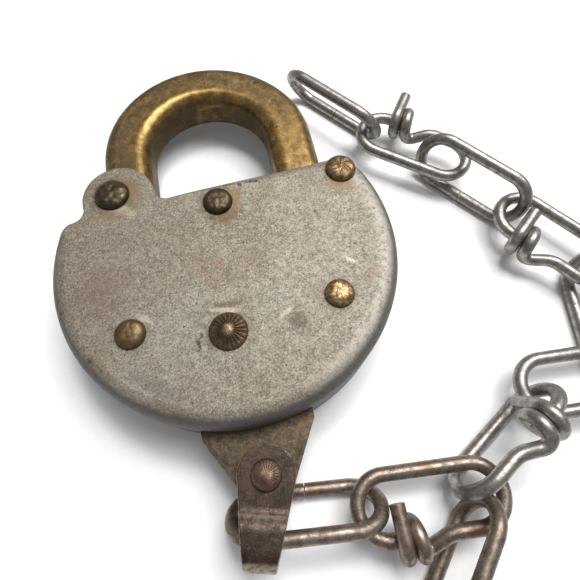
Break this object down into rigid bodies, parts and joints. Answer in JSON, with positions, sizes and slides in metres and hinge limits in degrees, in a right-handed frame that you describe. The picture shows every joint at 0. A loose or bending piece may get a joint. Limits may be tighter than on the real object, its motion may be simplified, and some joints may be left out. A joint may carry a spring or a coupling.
{
  "type": "chain lock",
  "caption": "Round riveted lever padlock with a swinging bow shackle, a keyhole under a drop cover, and a chain of knotted wire links hung from a clevis.",
  "frame": {"origin": "on the key post's axis, in the plane halfway through the case", "axes": "+Y towards the shackle, +Z out of the plain back face, +X completes the right hand; the key is put in from -Z"},
  "size_m": [0.1089, 0.1176, 0.0163],
  "materials": {
    "case_steel": "dull worn grey with fine pitting and brown patina",
    "shackle_brass": "aged, brown patina, worn bright on the inner edge",
    "rivet_bronze": "aged bronze brown, hammered",
    "inner_brass": "plain rolled brass",
    "spring_steel": "plain",
    "hanger_steel": "brownish, stained",
    "clevis_steel": "dark brown with worn bright edges",
    "clevis_rivet_steel": "copper brown, fluted",
    "chain_steel": "grey drawn wire",
    "chain_rusty_steel": "brown, lightly rusted wire"
  },
  "bodies": {
    "case": {"back_case": "case_steel", "front_plate": "case_steel", "shackle_rivet": "rivet_bronze", "rivet_top_middle": "rivet_bronze", "rivet_top_right": "rivet_bronze", "rivet_lower_left": "rivet_bronze", "rivet_lower_right": "rivet_bronze", "spacer_top_middle": "spring_steel", "spacer_lower_left": "spring_steel", "spacer_lower_right": "spring_steel", "key_post": "rivet_bronze", "cover_rivet": "inner_brass", "hanger_plate": "hanger_steel", "bolt_spring": "spring_steel"},
    "shackle": {"shackle": "shackle_brass"},
    "bolt": {"bolt": "inner_brass", "bolt_stump": "inner_brass"},
    "lever_1": {"lever_1": "inner_brass", "lever_spring_1": "spring_steel"},
    "lever_2": {"lever_2": "inner_brass", "lever_spring_2": "spring_steel"},
    "lever_3": {"lever_3": "inner_brass", "lever_spring_3": "spring_steel"},
    "lever_4": {"lever_4": "inner_brass", "lever_spring_4": "spring_steel"},
    "key_cover": {"key_cover": "inner_brass"},
    "clevis": {"clevis": "clevis_steel", "clevis_rivet": "clevis_rivet_steel"},
    "chain_link_1": {"chain_link_1": "chain_rusty_steel"},
    "chain_link_2": {"chain_link_2": "chain_rusty_steel"},
    "chain_link_3": {"chain_link_3": "chain_steel"},
    "chain_link_4": {"chain_link_4": "chain_steel"},
    "chain_link_5": {"chain_link_5": "chain_steel"},
    "chain_link_6": {"chain_link_6": "chain_steel"},
    "chain_link_7": {"chain_link_7": "chain_steel"},
    "chain_link_8": {"chain_link_8": "chain_steel"},
    "chain_link_9": {"chain_link_9": "chain_steel"},
    "chain_tail_link": {"chain_tail_link": "chain_rusty_steel"}
  },
  "joints": [
    {"name": "shackle_swing", "type": "hinge", "parent": "case", "child": "shackle", "pos_m": [-0.0176, 0.0311, 0], "axis": [0, 0, 1], "range_deg": [0, 85]},
    {"name": "bolt_slide", "type": "slide", "parent": "case", "child": "bolt", "axis": [1, 0, 0], "range_m": [0, 0.0035], "deforming": ["bolt_spring"]},
    {"name": "lever_1_swing", "type": "hinge", "parent": "case", "child": "lever_1", "pos_m": [0.0199, 0.0028, 0], "axis": [0, 0, 1], "range_deg": [-2.6, 2.6], "stiffness_Nm_per_rad": 0.01},
    {"name": "lever_2_swing", "type": "hinge", "parent": "case", "child": "lever_2", "pos_m": [0.0199, 0.0028, 0], "axis": [0, 0, 1], "range_deg": [-2.6, 2.6], "stiffness_Nm_per_rad": 0.01},
    {"name": "lever_3_swing", "type": "hinge", "parent": "case", "child": "lever_3", "pos_m": [0.0199, 0.0028, 0], "axis": [0, 0, 1], "range_deg": [-2.6, 2.6], "stiffness_Nm_per_rad": 0.01},
    {"name": "lever_4_swing", "type": "hinge", "parent": "case", "child": "lever_4", "pos_m": [0.0199, 0.0028, 0], "axis": [0, 0, 1], "range_deg": [-2.6, 2.6], "stiffness_Nm_per_rad": 0.01},
    {"name": "key_cover_swing", "type": "hinge", "parent": "case", "child": "key_cover", "pos_m": [0, 0.014, 0], "axis": [0, 0, 1], "range_deg": [0, 100]},
    {"name": "clevis_swing", "type": "hinge", "parent": "case", "child": "clevis", "pos_m": [0.0019, -0.0231, 0], "axis": [0, 0, 1], "range_deg": [-60, 0]},
    {"name": "chain_1_swing", "type": "hinge", "parent": "clevis", "child": "chain_link_1", "pos_m": [-0.0006, -0.0324, 0], "axis": [0, 0, 1], "range_deg": [-3, 1]},
    {"name": "chain_2_swing", "type": "hinge", "parent": "chain_link_1", "child": "chain_link_2", "pos_m": [0.0202, -0.03199, 0], "axis": [0, 0, 1], "range_deg": [-6, 0]},
    {"name": "chain_3_swing", "type": "hinge", "parent": "chain_link_2", "child": "chain_link_3", "pos_m": [0.03476, -0.03313, 0], "axis": [0, 0, 1], "range_deg": [-10, 0]},
    {"name": "chain_4_swing", "type": "hinge", "parent": "chain_link_3", "child": "chain_link_4", "pos_m": [0.05455, -0.01888, 0], "axis": [0, 0, 1], "range_deg": [-18, 0]},
    {"name": "chain_5_swing", "type": "hinge", "parent": "chain_link_4", "child": "chain_link_5", "pos_m": [0.06913, -0.01972, 0], "axis": [0, 0, 1], "range_deg": [-18, 0]},
    {"name": "chain_6_swing", "type": "hinge", "parent": "chain_link_5", "child": "chain_link_6", "pos_m": [0.07294, 0.00344, 0], "axis": [0, 0, 1], "range_deg": [-18, 0]},
    {"name": "chain_7_swing", "type": "hinge", "parent": "chain_link_6", "child": "chain_link_7", "pos_m": [0.06416, 0.0151, 0], "axis": [0, 0, 1], "range_deg": [-7, 0.5]},
    {"name": "chain_8_swing", "type": "hinge", "parent": "chain_link_7", "child": "chain_link_8", "pos_m": [0.05278, 0.0334, 0], "axis": [0, 0, 1], "range_deg": [-7, 2]},
    {"name": "chain_9_swing", "type": "hinge", "parent": "chain_link_8", "child": "chain_link_9", "pos_m": [0.04122, 0.0423, 0], "axis": [0, 0, 1], "range_deg": [-15, 6]},
    {"name": "chain_tail_swing", "type": "hinge", "parent": "chain_link_2", "child": "chain_tail_link", "pos_m": [0.03476, -0.03313, 0], "axis": [0, 0, 1], "range_deg": [0, 10]}
  ]
}
